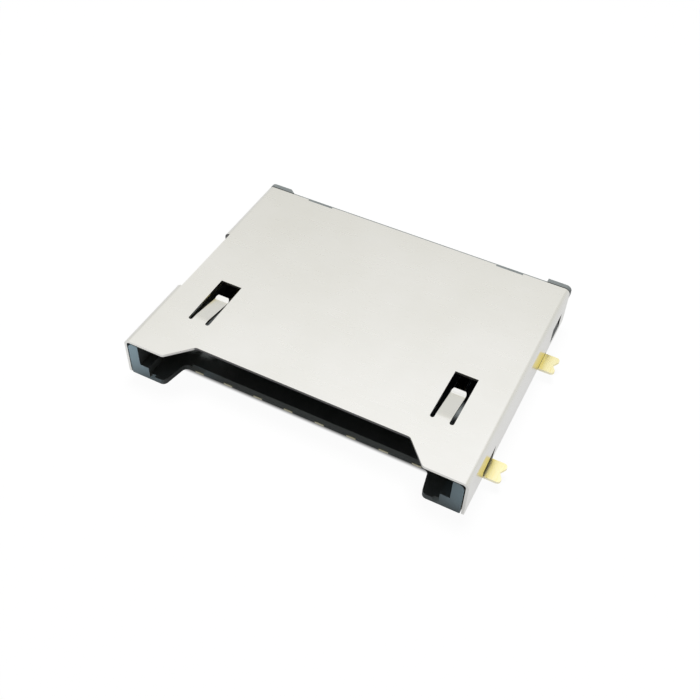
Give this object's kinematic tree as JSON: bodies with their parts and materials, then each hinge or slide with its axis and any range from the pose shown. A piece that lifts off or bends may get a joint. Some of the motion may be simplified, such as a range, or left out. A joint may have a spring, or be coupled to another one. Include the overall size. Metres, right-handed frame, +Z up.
{
  "type": "memory card socket",
  "caption": "Flat surface-mount socket for a full-size memory card: folded metal shell with hold-down tongues over a dark moulded base with gold spring contacts and solder tabs.",
  "frame": {"origin": "on the board's surface, midway between the side walls and midway between the shell's front and rear edges", "axes": "+X to the right seen from the card's mouth, +Y the way the card goes in, +Z up from the board"},
  "size_m": [0.0288, 0.0213, 0.0042],
  "materials": {
    "nickel_sheet": "satin nickel plate",
    "housing_plastic": "fine matte moulding",
    "gold_plating": "bright thin gold plate"
  },
  "bodies": {
    "root": {"shell": "nickel_sheet", "base_housing": "housing_plastic", "contact_1": "gold_plating", "contact_2": "gold_plating", "contact_3": "gold_plating", "contact_4": "gold_plating", "contact_5": "gold_plating", "contact_6": "gold_plating", "contact_7": "gold_plating", "contact_8": "gold_plating", "contact_9": "gold_plating", "write_protect_spring": "gold_plating", "write_protect_contact": "gold_plating", "card_detect_spring": "gold_plating", "card_detect_contact": "gold_plating", "solder_tab_left_front": "gold_plating", "solder_tab_left_rear": "gold_plating", "solder_tab_right_front": "gold_plating", "solder_tab_right_rear": "gold_plating"}
  },
  "joints": []
}
